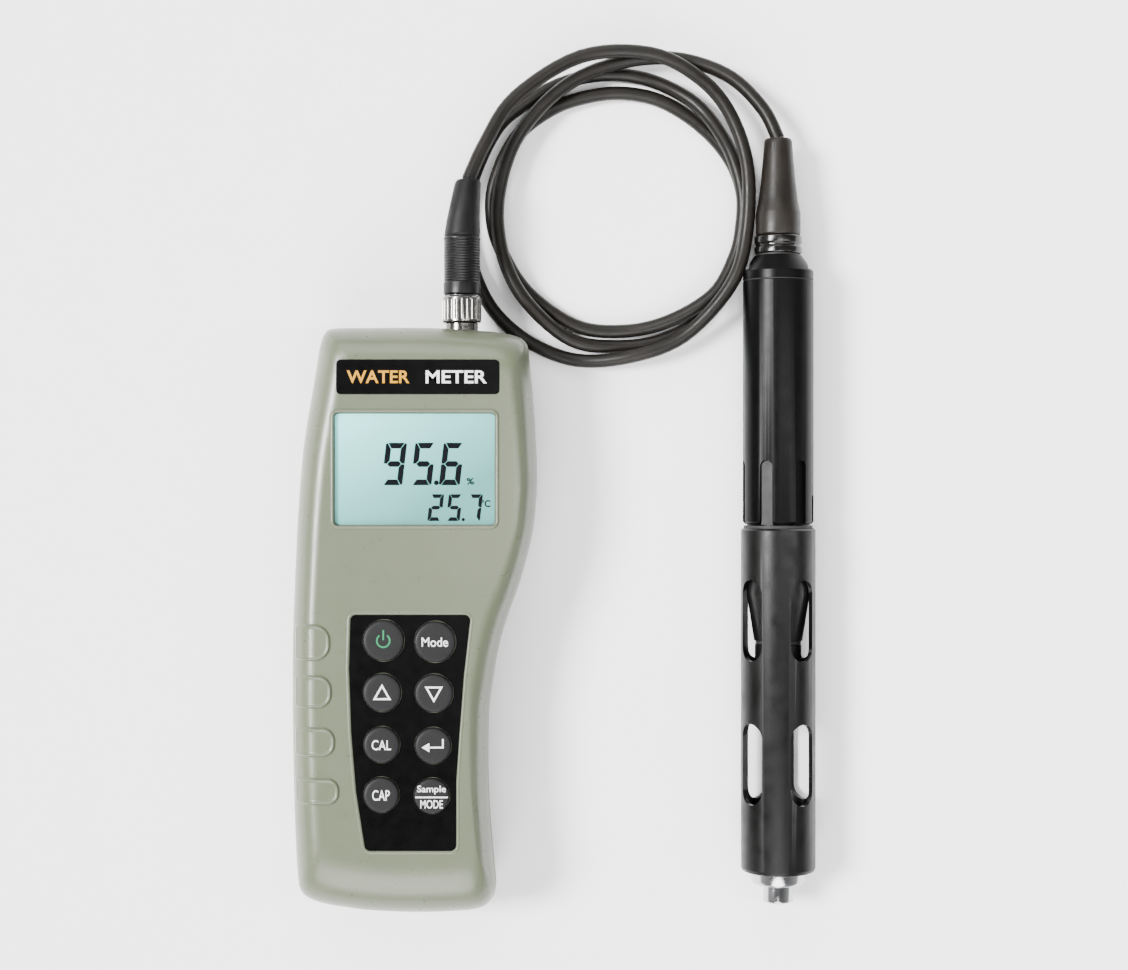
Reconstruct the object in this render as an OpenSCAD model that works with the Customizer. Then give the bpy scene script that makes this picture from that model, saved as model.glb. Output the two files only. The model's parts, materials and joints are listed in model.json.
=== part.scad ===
// Hand-held water quality meter with its cable and optical probe.
// Millimetres. X right, Y up the front face, Z away from the table.
// The origin is at the middle of the footprint of everything but the cable.

/* [Case] */
// Height of the case's flat front above the table
case_front_z = 35; // [34:0.1:36]
// Height of the parting line between the two case halves
parting_z = 18; // [17:0.1:19]
// Wall thickness of both case halves
case_wall = 2.2; // [1.8:0.1:2.4]
// Distance from the silhouette to the front ridge, left side
ridge_left = 5.5; // [4:0.1:7]
// Distance from the silhouette to the front ridge, right side
ridge_right = 4.1; // [3:0.1:5]
// Distance from the silhouette to the front ridge, top end
ridge_top = 6.5; // [5:0.1:7]
// Distance from the silhouette to the front ridge, bottom end
ridge_bottom = 10.7; // [9:0.1:12]
// Thickness of the case gasket
gasket_t = 0.5; // [0.3:0.1:0.8]
// How far the finger pads stand out of the flank
pad_rise = 0.5; // [0.2:0.1:0.8]

/* [Display] */
// Width of the display window
window_w = 50; // [46:0.5:52]
// Height of the display window
window_h = 34.8; // [30:0.1:36]
// Thickness of the display window
window_t = 1.4; // [1:0.1:1.8]
// Height of the raised lip around the window
lip_rise = 0.5; // [0.2:0.1:1]

/* [Keys] */
// Radius of the two keys in the first row
key_r1 = 6.35; // [6:0.05:6.5]
// Radius of the two keys in the second row
key_r2 = 5.9; // [5.5:0.05:6.2]
// Radius of the two keys in the third row
key_r3 = 5.6; // [5.2:0.05:6]
// Radius of the two keys in the last row
key_r4 = 5.5; // [5:0.05:6]
// How far the keys stand above the flat front
key_rise = 1.4; // [1:0.1:2]
// Gap between a key and the holes it passes through
key_gap = 0.3; // [0.25:0.05:0.4]

// Corner radius of the keypad panel
panel_r = 1.8; // [1:0.1:3]

/* [Connector] */
// X of the connector's axis
plug_x = -30; // [-31:0.1:-29]
// Outside radius of the knurled coupling ring
ring_r = 6.2; // [6:0.05:6.6]
// Number of flutes round the coupling ring
ring_flutes = 24; // [18:1:30]
// Outside radius of the plug's ribbed barrel
barrel_r = 5.9; // [5.7:0.05:6]
// Number of grip ribs on the barrel
barrel_ribs = 16; // [8:1:18]

/* [Cable] */
// Outside diameter of the cable
cable_d = 4.5; // [4:0.1:4.5]

/* [Probe] */
// X of the probe's axis
probe_x = 71.7; // [71.7:0.1:72]
// Outside radius of the slotted guard, also the probe axis' height
guard_r = 12; // [12:0.1:12.4]
// Bore radius of the guard
guard_bore_r = 10.45; // [10.4:0.05:10.6]
// Outside radius of the probe body
body_r = 11.35; // [11:0.05:11.6]
// Number of long grooves at the lower end of the body
body_grooves = 6; // [3:1:8]
// Width of a long groove
groove_w = 4.1; // [3:0.1:5]
// Length of a guard slot
slot_l = 26; // [20:0.5:28]
// Width of a guard slot
slot_w = 9.2; // [6:0.1:10]
// Turn of the slots and grooves about the probe's axis
slot_turn = 36; // [30:1:40]
// Outside radius of the sensor cap
cap_r = 7.5; // [7.3:0.05:8]
// Radius of the end weight's stub
stub_r = 4.8; // [4:0.1:6]

/* [Hidden] */
plug_z = parting_z;
probe_z = guard_r;
front_in = case_front_z - case_wall;
back_top = parting_z - gasket_t;
win_x = -43.9;
win_y = 17.1;
win_z = case_front_z - window_t;
panel_z = case_front_z - 0.8;
key_top = case_front_z + key_rise;
flange_z = front_in - 0.25;
board_z = 28.3;
board_t = 1.6;
holder_z = board_z + board_t;
lcd_z = holder_z + 1.3;
fine = 48;

// outline of the case at its parting line, clockwise from the top left
top_edge = [[-70.6,62],[-58.8,62.2],[-45.4,62.3],[-36.4,62.1],[-23,61.3],[-18.5,60.8],[-14,60]];
right_edge = [[-10.6,58.6],[-8.9,56],[-8.3,50.5],[-7,36],[-6,17],[-6.3,7.4],[-7.3,-2.2],[-9.5,-11.8],
  [-12.4,-21.4],[-15.9,-31],[-18.5,-40.6],[-20.1,-50.2],[-21.4,-59.8],[-21.7,-74.2],[-21.4,-88.6],
  [-20.4,-102.9],[-19.5,-112.5],[-19.2,-116.6]];
bottom_edge = [[-20.4,-119.8],[-23.5,-122.2],[-29.4,-123.2],[-43.4,-123.75],[-58.8,-123.2],[-66.8,-122.2],
  [-74.1,-120.9],[-79,-119]];
left_edge = [[-81.2,-116.6],[-82,-112.5],[-82.7,-101.3],[-83.3,-83.8],[-83.7,-60],[-83.6,-35.8],[-82.7,-11.8],[-81.8,5.8],
  [-80.5,21.7],[-79.2,31.3],[-77.6,40.9],[-76,50.5],[-74.9,56.9],[-73.4,60.6]];
outline = concat(top_edge, right_edge, bottom_edge, left_edge);
right_x = [for (p = right_edge) [p[1], p[0]]];
left_x = [for (p = left_edge) [p[1], p[0]]];

// edge profile: share of the ridge distance against height
front_profile = [[0,parting_z],[0.03,22],[0.15,26],[0.4,29.8],[0.75,32.6],[1.05,34],[1.35,34.75],[1.7,35]];
front_hollow = [[0,17],[0,24],[0.3,27.3],[0.6,29.8],[1,31.8],[1.45,32.8]];
back_profile = [[1.1,0],[0.85,0.3],[0.5,1.3],[0.22,3.6],[0.08,7],[0.02,12],[0,back_top]];
back_hollow = [[0.75,2.2],[0.4,4],[0.15,7.5],[0,12],[0,18.5]];
front_lift = case_front_z - 35;

screw_points = [[-68,52.5,31.8],[-15,52,31.8],[-71,-113,29.8],[-28.5,-113,29.8]];
cover_screw_points = [[-52,-106.6],[-52,-55.4]];
cell_x = [-68.05,-57.35,-46.65,-35.95];

keys = [["power",-53.5,-36.2,key_r1],["mode",-37.5,-36.6,key_r1],["up",-53.9,-52.4,key_r2],
  ["down",-37.8,-52.6,key_r2],["cal",-54.1,-68.6,key_r3],["enter",-38.1,-68.9,key_r3],
  ["cap",-54.2,-84.2,key_r4],["sample",-38.5,-84.5,key_r4]];

pads = [[-42.6,-31.3,-70.1],[-57.4,-47.1,-69.6],[-72.5,-63.3,-68.6],[-87.4,-79.1,-67.3]];

// the cable's middle line, one point about every 15 mm
route = [
  // leaves the plug, passes over the top, down the right side
  [-28,109.7,18],[-22.5,122,16.4],[-13,137,13.8],[8,150.5,11.6],[30.5,151.5,11.5],[46.5,143.5,11.5],
  [56.5,131.5,11.5],[62,114,11.5],[61.3,92,11.5],[56,76,11.8],[41.5,60.5,8],
  // outer strand along the bottom, up under the plug
  [24.5,54,6.4],[7,53,2.3],[-8,58.5,2.3],[-19.5,68,2.3],[-26,79.5,2.3],[-29.5,94,2.3],[-28,110,2.3],
  // second pass over the top and down the right
  [-20,128,2.3],[-11,136.5,2.3],[1.5,143.5,2.3],[14.5,146.5,2.3],[28,145.5,2.3],[40.5,140,4.2],
  [49,132.5,6.9],[56.5,121,6.9],[60.5,108,6.9],[60.5,97,6.9],[58,86,6.9],[51,74,6.9],[36.5,65.5,4.6],
  // inner strand along the bottom
  [21.5,62.5,2.3],[6,64.5,2.3],[-9.5,75.5,2.3],[-18,89,2.3],
  // third pass: up the left, over the top, down the right
  [-21,100,2.3],[-20,111.5,2.3],[-13.5,125.5,2.3],[-3.5,134,2.3],[7,138.5,2.3],[20.5,140.5,2.3],
  [34,138,2.3],[47,130,2.3],[56.5,119.5,2.3],[61,108,2.3],[61.5,94,2.3],[57,81,2.3],[47,67,2.3],
  [34,59.5,2.3],
  // middle strand along the bottom and up the left
  [20.5,57.5,2.3],[5,59.5,4.2],[-8.5,70.5,6.9],[-16,83,6.9],
  // last pass over the top and away to the probe
  [-19,97,6.9],[-18,110,6.9],[-13.5,123.5,6.9],[-5,135,6.9],[5.5,143.5,7],[17,148.5,6.9],
  [30,151,6.9],[43.5,150,7.1],[57,144,9.4],[67,133.5,11.3],[71.7,123.8,12]
];

function mix(a, b, t) = a + (b - a) * t;
function curve(a, b, c, d, t) = 0.5 * ((2 * b) + (c - a) * t + (2 * a - 5 * b + 4 * c - d) * t * t
  + (3 * b - a - 3 * c + d) * t * t * t);
function smooth(p) = let (n = len(p)) [for (i = [0:n - 1]) for (t = [0, 0.5])
  curve(p[(i + n - 1) % n], p[i], p[(i + 1) % n], p[(i + 2) % n], t)];
function bend(p) = let (n = len(p)) concat([for (i = [0:n - 2]) for (t = [0, 0.5])
  curve(p[max(0, i - 1)], p[i], p[i + 1], p[min(n - 1, i + 2)], t)], [p[n - 1]]);
function squeeze(p, t, e) = let (l = lookup(p[1], left_x), r = lookup(p[1], right_x),
  u = max(0, min(1, (p[0] - l) / (r - l))), v = max(0, min(1, (p[1] + 123.75) / 186.05)))
  [p[0] + (ridge_left * t + e) * (1 - u) - (ridge_right * t + e) * u,
   p[1] + (ridge_bottom * t + e) * (1 - v) - (ridge_top * t + e) * v];
rim = smooth(outline);
function ring_at(t, e) = [for (p = rim) squeeze(p, t, e)];

// solid through a stack of rings: profile entries are [share, height]
module loft(profile, e = 0, dz = 0) {
  n = len(rim);
  k = len(profile);
  pts = [for (s = profile) for (q = ring_at(s[0], e)) [q[0], q[1], s[1] + dz]];
  sides = [for (j = [0:k - 2]) for (i = [0:n - 1]) let (a = j * n + i, b = j * n + (i + 1) % n)
    each [[a, b, b + n], [a, b + n, a + n]]];
  polyhedron(pts, concat(sides, [[for (i = [n - 1:-1:0]) i]], [[for (i = [0:n - 1]) (k - 1) * n + i]]));
}

module slab(cx, cy, w, h, r, z0, z1) {
  translate([cx, cy, z0]) linear_extrude(z1 - z0) {
    square([w - 2 * r, h], center = true);
    square([w, h - 2 * r], center = true);
    for (i = [-1, 1], j = [-1, 1]) translate([i * (w / 2 - r), j * (h / 2 - r)]) circle(r, $fn = 32);
  }
}

module block(x0, x1, y0, y1, z0, z1) {
  translate([x0, y0, z0]) cube([x1 - x0, y1 - y0, z1 - z0]);
}

module post(x, y, r, z0, z1) {
  translate([x, y, z0]) cylinder(r = r, h = z1 - z0, $fn = 32);
}

// turned part along +Y: points are [radius, y]
module turned(x, z, pts, seg = fine) {
  translate([x, 0, z]) rotate([-90, 0, 0]) rotate_extrude($fn = seg) polygon(pts);
}

module pin_y(x, z, r, y0, y1, seg = 24) {
  translate([x, y0, z]) rotate([-90, 0, 0]) cylinder(r = r, h = y1 - y0, $fn = seg);
}

module panel_shape(e) {
  offset(r = panel_r + e, $fn = 32) polygon([[-62,-30.1],[-28.5,-30.1],[-30.4,-46.8],[-31.8,-65],[-32.8,-80],
    [-32.8,-99.8],[-57.6,-99.8],[-60.2,-83],[-61.7,-65],[-62.4,-45]]);
}

module screw_posts_front() {
  for (s = screw_points) post(s[0], s[1], 3.4, parting_z, s[2]);
}

// ---- case ----
module front_housing() {
  color([0.66, 0.69, 0.62]) difference() {
    union() {
      difference() {
        union() {
          loft(front_profile, 0, 0);
          intersection() {
            loft([for (s = front_profile) [s[0], s[1] + (s[0] > 0.5 ? pad_rise : 0)]], -pad_rise, 0);
            for (p = pads) translate([0, 0, 24]) linear_extrude(14) {
              r = (p[1] - p[0]) / 2;
              translate([-82, p[0]]) square([p[2] - r + 82, 2 * r]);
              translate([p[2] - r, p[0] + r]) circle(r, $fn = 40);
            }
          }
          slab(win_x, win_y, window_w + 2.2, window_h + 2.2, 2.2, 34, case_front_z + lip_rise);
        }
        loft(front_hollow, case_wall, 0);
      }
      screw_posts_front();
      block(-39, -21, 57, 60, parting_z, 26.5);
    }
    slab(win_x, win_y, window_w - 3, window_h - 2.8, 1, 30, 37);
    slab(win_x, win_y, window_w + 0.3, window_h + 0.3, 1.35, win_z, 37);
    slab(-42.9, 45.8, 51, 11, 1.5, case_front_z - 0.5, 37);
    translate([0, 0, panel_z]) linear_extrude(3) panel_shape(0.3);
    for (k = keys) post(k[1], k[2], k[3] + key_gap, 30, 37);
    for (s = screw_points) post(s[0], s[1], 1.5, parting_z - 1, 27);
    pin_y(plug_x, plug_z, 5.3, 50, 66, fine);
  }
}

module back_housing() {
  color([0.62, 0.65, 0.59]) difference() {
    union() {
      difference() {
        loft(back_profile);
        loft(back_hollow, case_wall, 0);
      }
      block(-76.6, -27.4, -110.4, -51.6, 1, 4.5);
      for (s = screw_points) post(s[0], s[1], 4, 2.6, back_top);
      block(-39, -21, 57, 60, 9.5, back_top);
    }
    slab(-52, -81, 47.2, 56.8, 4, -1, 2.4);
    block(-73.6, -30.4, -103.8, -58.2, 1, 6);
    for (s = cover_screw_points) post(s[0], s[1], 1.4, 1, 4.2);
    for (s = screw_points) {
      post(s[0], s[1], 1.6, -1, 19);
      post(s[0], s[1], 2.9, -1, 4);
    }
    pin_y(plug_x, plug_z, 5.3, 50, 66, fine);
  }
}

module housing_gasket() {
  color([0.12, 0.12, 0.12]) difference() {
    translate([0, 0, back_top]) linear_extrude(gasket_t) difference() {
      polygon(ring_at(0, 0.3));
      polygon(ring_at(0, 1.8));
    }
    pin_y(plug_x, plug_z, 5.5, 50, 66, fine);
  }
}

// ---- display ----
module display_window() {
  color([0.8, 0.92, 0.92, 0.4]) slab(win_x, win_y, window_w, window_h, 1.2, win_z, case_front_z);
}

module lcd_panel() {
  color([0.75, 0.87, 0.84]) slab(win_x, win_y, window_w - 3.6, window_h - 3.2, 0.5, lcd_z, lcd_z + 2);
}

module lcd_holder() {
  color([0.9, 0.9, 0.88]) difference() {
    slab(win_x, win_y, 52, 39, 1, holder_z, front_in - 0.9);
    slab(win_x, win_y, window_w - 3.2, window_h - 2.8, 0.5, lcd_z, 37);
    slab(win_x, win_y, 42, 22, 1, 29, 37);
    for (j = [-1, 1]) block(win_x - 20, win_x + 20, win_y + j * 14.2 - 1.1, win_y + j * 14.2 + 1.1, 29, 32);
  }
}

module zebra_strips() {
  color([0.85, 0.5, 0.6]) for (j = [-1, 1])
    block(win_x - 19.8, win_x + 19.8, win_y + j * 14.2 - 0.9, win_y + j * 14.2 + 0.9, holder_z, lcd_z);
}

module nameplate() {
  color([0.06, 0.06, 0.07]) slab(-42.9, 45.8, 50.7, 10.7, 1.35, case_front_z - 0.5, case_front_z + 0.1);
}

// ---- keypad ----
module keypad_panel() {
  color([0.04, 0.04, 0.05]) difference() {
    translate([0, 0, panel_z]) linear_extrude(case_front_z + 0.15 - panel_z) panel_shape(0);
    for (k = keys) post(k[1], k[2], k[3] + key_gap, 30, 37);
  }
}

module key(i) {
  r = keys[i][3];
  color([0.2, 0.21, 0.22]) translate([keys[i][1], keys[i][2], 0]) rotate_extrude($fn = 40)
    polygon([[0, flange_z - 0.8], [r + 0.9, flange_z - 0.8], [r + 0.9, flange_z], [r, flange_z],
      [r, key_top - 0.7], [r - 0.3, key_top - 0.2], [r - 0.9, key_top], [0, key_top]]);
}

module power_key() { key(0); }
module mode_key() { key(1); }
module up_key() { key(2); }
module down_key() { key(3); }
module cal_key() { key(4); }
module enter_key() { key(5); }
module cap_key() { key(6); }
module sample_key() { key(7); }

module snap_domes() {
  color([0.8, 0.8, 0.78]) for (k = keys)
    translate([k[1], k[2], holder_z]) cylinder(r1 = 3.2, r2 = 1.6, h = 1.15, $fn = 24);
}

module main_board() {
  color([0.08, 0.35, 0.2]) translate([0, 0, board_z]) linear_extrude(board_t)
    polygon([[-69.5,47.5],[-19,47.5],[-17,10],[-26,-25],[-31,-60],[-31,-100],[-70,-100],[-73,-60],[-73,25]]);
}

module board_components() {
  color([0.15, 0.15, 0.16]) {
    block(-56, -44, -66, -54, board_z - 1.6, board_z);
    block(-42, -34, -24, -18, board_z - 1.4, board_z);
    block(-64, -58, -18, -13, board_z - 2, board_z);
    block(-66, -50, 20, 32, board_z - 1.2, board_z);
    block(-36, -24, 41, 46, board_z - 5, board_z);
    block(-70, -62, -48, -42, board_z - 5, board_z);
    post(-27, 4, 3, board_z - 6, board_z);
    post(-46, 4, 2, board_z - 4, board_z);
  }
}

// ---- battery compartment ----
module battery_tray() {
  color([0.1, 0.1, 0.1]) difference() {
    block(-75.1, -28.9, -105.3, -56.7, 4.6, 15.4);
    block(-73.6, -30.4, -103.8, -58.2, 3, 13.9);
  }
}

module batteries() {
  color([0.75, 0.5, 0.2]) for (i = [0:3]) {
    flip = (i % 2) * 2 - 1;
    pin_y(cell_x[i], 8.2, 5.2, -102.6, -59.4, 32);
    pin_y(cell_x[i], 8.2, 1.9, flip > 0 ? -59.4 : -103.2, flip > 0 ? -58.8 : -102.6, 24);
  }
}

module battery_contacts() {
  color([0.8, 0.8, 0.8]) {
    for (x = [-62.7, -41.3]) block(x - 9, x + 9, -103.8, -103.4, 5, 12);
    for (x = [-68.05, -52, -35.95]) block(x - (x == -52 ? 9 : 3.5), x + (x == -52 ? 9 : 3.5), -58.6, -58.2, 5, 12);
  }
}

module battery_cover() {
  color([0.6, 0.63, 0.57]) difference() {
    slab(-52, -81, 46.6, 56.2, 3.7, 0.4, 2);
    for (s = cover_screw_points) {
      post(s[0], s[1], 1.2, -1, 4);
      post(s[0], s[1], 2.1, -1, 1.2);
    }
  }
}

module battery_cover_gasket() {
  color([0.1, 0.1, 0.1]) difference() {
    slab(-52, -81, 46, 55.6, 3.4, 2, 2.35);
    block(-73.9, -30.1, -104.1, -57.9, 1, 4);
    for (s = cover_screw_points) post(s[0], s[1], 1.3, 1, 4);
  }
}

module battery_cover_screws() {
  color([0.75, 0.75, 0.77]) for (s = cover_screw_points) {
    post(s[0], s[1], 2, 0.5, 1.2);
    post(s[0], s[1], 1.1, 1.2, 4);
  }
}

module housing_screws() {
  color([0.75, 0.75, 0.77]) for (s = screw_points) {
    post(s[0], s[1], 2.6, 1.8, 3.95);
    post(s[0], s[1], 1.4, 3.95, 26);
  }
}

// ---- connector ----
module receptacle() {
  color([0.78, 0.78, 0.8]) difference() {
    turned(plug_x, plug_z, [[0,51.5],[5.1,51.5],[5.1,63.7],[4.7,63.9],[4.7,69.4],[4.5,69.6],[0,69.6]]);
    pin_y(plug_x, plug_z, 4, 51, 60, fine);
    pin_y(plug_x, plug_z, 3.7, 64.6, 71, fine);
    for (a = [0:72:288]) pin_y(plug_x + 2 * sin(a), plug_z + 2 * cos(a), 0.5, 58, 66, 16);
  }
}

module receptacle_pins() {
  color([0.85, 0.7, 0.3]) for (a = [0:72:288])
    pin_y(plug_x + 2 * sin(a), plug_z + 2 * cos(a), 0.45, 58, 68.6, 16);
}

module receptacle_nut() {
  color([0.75, 0.75, 0.76]) difference() {
    pin_y(plug_x, plug_z, 8, 53.9, 56.3, 6);
    pin_y(plug_x, plug_z, 5.2, 53, 58, fine);
  }
}

module receptacle_seal() {
  color([0.1, 0.1, 0.1]) difference() {
    pin_y(plug_x, plug_z, 7, 56.35, 56.95, fine);
    pin_y(plug_x, plug_z, 5.2, 55, 58, fine);
  }
}

module coupling_ring() {
  color([0.8, 0.8, 0.82]) difference() {
    turned(plug_x, plug_z, [[5.05,63.9],[ring_r - 0.4,63.9],[ring_r,64.3],[ring_r,71.8],[ring_r - 0.45,72.2],
      [ring_r - 0.5,72.6],[4.3,72.6],[4.3,70.8],[5.05,70.8]]);
    for (i = [0:ring_flutes - 1]) pin_y(plug_x + (ring_r + 0.25) * sin(i * 360 / ring_flutes),
      plug_z + (ring_r + 0.25) * cos(i * 360 / ring_flutes), 0.6, 64.9, 71.2, 16);
  }
}

module plug_barrel() {
  pitch = 13.9 / barrel_ribs;
  rib = barrel_r - 0.35;
  color([0.07, 0.07, 0.08]) turned(plug_x, plug_z, concat(
    [[3.5,69.8],[4.75,69.8],[4.75,70.5],[4,70.5],[4,72.8],[barrel_r - 0.4,72.8],[barrel_r,73.2],[barrel_r,76.7]],
    [for (i = [0:barrel_ribs - 1]) each [[rib, 76.7 + (i + 0.5) * pitch], [barrel_r, 76.7 + (i + 1) * pitch]]],
    [[barrel_r,91],[barrel_r - 0.3,91.4],[3.5,91.4]]), 32);
}

module plug_insert() {
  color([0.5, 0.48, 0.42]) difference() {
    pin_y(plug_x, plug_z, 3.4, 65.2, 74, 32);
    for (a = [0:72:288]) pin_y(plug_x + 2 * sin(a), plug_z + 2 * cos(a), 0.6, 64, 69.2, 16);
  }
}

module leaning(rings, seg = 32) {
  n = seg;
  k = len(rings);
  pts = [for (s = rings) for (i = [0:n - 1]) [s[0] + s[2] * cos(i * 360 / n), s[1], plug_z - s[2] * sin(i * 360 / n)]];
  sides = [for (j = [0:k - 2]) for (i = [0:n - 1]) let (a = j * n + i, b = j * n + (i + 1) % n)
    each [[a, b + n, b], [a, a + n, b + n]]];
  polyhedron(pts, concat(sides, [[for (i = [0:n - 1]) i]], [[for (i = [n - 1:-1:0]) (k - 1) * n + i]]));
}

module plug_boot() {
  color([0.09, 0.09, 0.09]) leaning([[plug_x,91.45,5.5],[plug_x + 0.05,92.2,5.75],[plug_x + 0.4,97,5.3],
    [plug_x + 1,102.5,4.75],[plug_x + 1.85,108.6,4.2],[plug_x + 2,109.65,3.6]], 28);
}

// ---- cable ----
module cable() {
  line = bend(route);
  n = len(line);
  m = 8;
  r = cable_d / 2;
  pts = [for (i = [0:n - 1]) let (
      d0 = i == 0 ? [0, 1, 0] : (i == n - 1 ? [0, -1, 0] : line[i + 1] - line[i - 1]),
      d = d0 / norm(d0), s0 = cross(d, [0, 0, 1]), s = s0 / norm(s0), u = cross(s, d))
    for (k = [0:m - 1]) line[i] + r * cos(k * 360 / m) * u + r * sin(k * 360 / m) * s];
  sides = [for (j = [0:n - 2]) for (i = [0:m - 1]) let (a = j * m + i, b = j * m + (i + 1) % m)
    each [[a, b, b + m], [a, b + m, a + m]]];
  color([0.29, 0.27, 0.24]) polyhedron(pts, concat(sides, [[for (i = [m - 1:-1:0]) i]],
    [[for (i = [0:m - 1]) (n - 1) * m + i]]));
}

// ---- probe ----
module probe_boot() {
  color([0.3, 0.25, 0.2]) turned(probe_x, probe_z, [[0,92.5],[6.9,92.5],[7.2,92.9],[7.2,99.6],[6.9,101],[6.3,104],
    [5.6,110],[4.95,117],[4.5,122.9],[4.1,123.75],[0,123.75]]);
}

module probe_collar() {
  color([0.12, 0.11, 0.1]) turned(probe_x, probe_z, [[3.2,86.5],[7.3,86.5],[7.6,86.9],[7.6,88.6],[7.2,89],[7.2,89.6],
    [7.6,90],[7.6,92],[7.2,92.4],[3.2,92.4]]);
}

module collar_seal() {
  color([0.08, 0.08, 0.08]) turned(probe_x, probe_z, [[3.3,86.05],[7.1,86.05],[7.1,86.45],[3.3,86.45]]);
}

module probe_top_cap() {
  color([0.08, 0.08, 0.08]) difference() {
    turned(probe_x, probe_z, [[3.2,86],[7.6,86],[body_r,80.8],[body_r,78.1],[9.4,78.1],[9.4,70],[7.5,70],[7.5,80],[3.2,84]]);
    for (i = [-1, 1]) block(probe_x + i * 11 - 1.9, probe_x + i * 11 + 1.9, 81.4, 87, 0, 24);
  }
}

module body_seal() {
  color([0.05, 0.05, 0.05]) turned(probe_x, probe_z, [[9.6,77.82],[11.1,77.82],[11.1,78.08],[9.6,78.08]]);
}

module probe_body() {
  color([0.06, 0.06, 0.065]) difference() {
    turned(probe_x, probe_z, [[9.5,77.8],[body_r - 0.15,77.8],[body_r,77.6],[body_r,0.4],[body_r - 0.8,-0.5],[10.1,-0.5],
      [10.1,-13.7],[9.8,-14],[8.6,-14],[8.6,6],[9.5,7]]);
    for (i = [0:body_grooves - 1]) translate([probe_x, 0, probe_z]) rotate([0, slot_turn - 62 + i * 360 / body_grooves, 0]) {
      translate([-groove_w / 2, -2, 10.3]) cube([groove_w, 20, 3]);
      translate([0, 18, 10.3]) cylinder(d = groove_w, h = 3, $fn = 32);
    }
    translate([probe_x, 0, probe_z]) rotate([0, 70, 0]) {
      translate([-1, -2, 10.6]) cube([2, 10, 3]);
      translate([0, 8, 10.6]) cylinder(r = 1, h = 3, $fn = 24);
    }
  }
}

module sensor_board() {
  color([0.08, 0.35, 0.2]) block(probe_x - 7, probe_x + 7, 9, 66, probe_z - 0.8, probe_z + 0.8);
}

module sensor_optics() {
  color([0.2, 0.3, 0.6]) {
    pin_y(probe_x, probe_z, 3.4, -36, -34.4, 32);
    for (i = [-1, 1]) pin_y(probe_x + i * 1.7, probe_z, 1.4, -40, -36, 24);
  }
}

module sensor_nose() {
  color([0.1, 0.1, 0.1]) difference() {
    turned(probe_x, probe_z, [[3.6,2],[8.5,2],[8.5,-14.6],[10.1,-14.6],[10.1,-23],[7.8,-37.9],[6,-37.9],[6,-42.2],[3.6,-42.2]]);
    pin_y(probe_x, probe_z + 8.6, 0.95, -34, -24, 24);
  }
}

module nose_seal() {
  color([0.05, 0.05, 0.05]) turned(probe_x, probe_z, [[8.6,-14.55],[10,-14.55],[10,-14.05],[8.6,-14.05]]);
}

module optical_window() {
  color([0.8, 0.85, 0.9, 0.5]) pin_y(probe_x, probe_z, 3.55, -42.1, -40.2, 32);
}

module temperature_pin() {
  color([0.78, 0.78, 0.8]) pin_y(probe_x, probe_z + 8.6, 0.9, -31, -24.05, 24);
}

module sensor_cap_seal() {
  color([0.05, 0.05, 0.05]) turned(probe_x, probe_z, [[6.3,-38.9],[7.3,-38.9],[7.3,-38],[6.3,-38]]);
}

module sensor_cap() {
  color([0.14, 0.14, 0.14]) turned(probe_x, probe_z, [[6.3,-39],[cap_r - 0.2,-39],[cap_r,-39.3],[cap_r,-43.4],
    [cap_r - 0.6,-44],[4.6,-44],[4.6,-43],[6.3,-43]]);
}

module sensing_foil() {
  color([0.35, 0.05, 0.1]) pin_y(probe_x, probe_z, 6.2, -43, -42.5, 40);
}

module guard_seal() {
  color([0.05, 0.05, 0.05]) turned(probe_x, probe_z, [[10.4,-1.7],[11.1,-1.7],[11.1,-0.9],[10.4,-0.9]]);
}

module guard() {
  color([0.09, 0.09, 0.09]) difference() {
    turned(probe_x, probe_z, [[guard_bore_r,-1.8],[guard_r - 0.6,-1.8],[guard_r,-2.4],[guard_r,-110.9],
      [guard_r - 0.4,-111.9],[guard_r - 1.4,-112.35],[8.85,-112.35],[8.85,-109.35],[guard_bore_r,-109.35]]);
    for (a = [slot_turn, slot_turn + 90], y = [-31.2, -77.1]) translate([probe_x, 0, probe_z]) rotate([0, a, 0])
      translate([0, y, -20]) linear_extrude(40) {
        square([slot_w, slot_l - slot_w], center = true);
        for (j = [-1, 1]) translate([0, j * (slot_l - slot_w) / 2]) circle(d = slot_w, $fn = 36);
      }
  }
}

module guard_weight() {
  color([0.75, 0.75, 0.78]) turned(probe_x, probe_z, [[0,-105.3],[10.3,-105.3],[10.3,-109.3],[8.75,-109.3],[8.75,-115],
    [8.3,-116],[7.4,-116.4],[stub_r,-116.4],[stub_r,-121.8],[stub_r - 0.4,-122.2],[0,-122.2]]);
}

front_housing();
back_housing();
housing_gasket();
display_window();
lcd_panel();
lcd_holder();
zebra_strips();
nameplate();
keypad_panel();
power_key();
mode_key();
up_key();
down_key();
cal_key();
enter_key();
cap_key();
sample_key();
snap_domes();
main_board();
board_components();
battery_tray();
batteries();
battery_contacts();
battery_cover();
battery_cover_gasket();
battery_cover_screws();
housing_screws();
receptacle();
receptacle_pins();
receptacle_nut();
receptacle_seal();
coupling_ring();
plug_barrel();
plug_insert();
plug_boot();
cable();
probe_boot();
probe_collar();
collar_seal();
probe_top_cap();
body_seal();
probe_body();
sensor_board();
sensor_optics();
sensor_nose();
nose_seal();
optical_window();
temperature_pin();
sensor_cap_seal();
sensor_cap();
sensing_foil();
guard_seal();
guard();
guard_weight();
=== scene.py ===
"""Looks for a hand-held water quality meter with its cable and probe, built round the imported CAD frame."""
import json
import math

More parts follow.
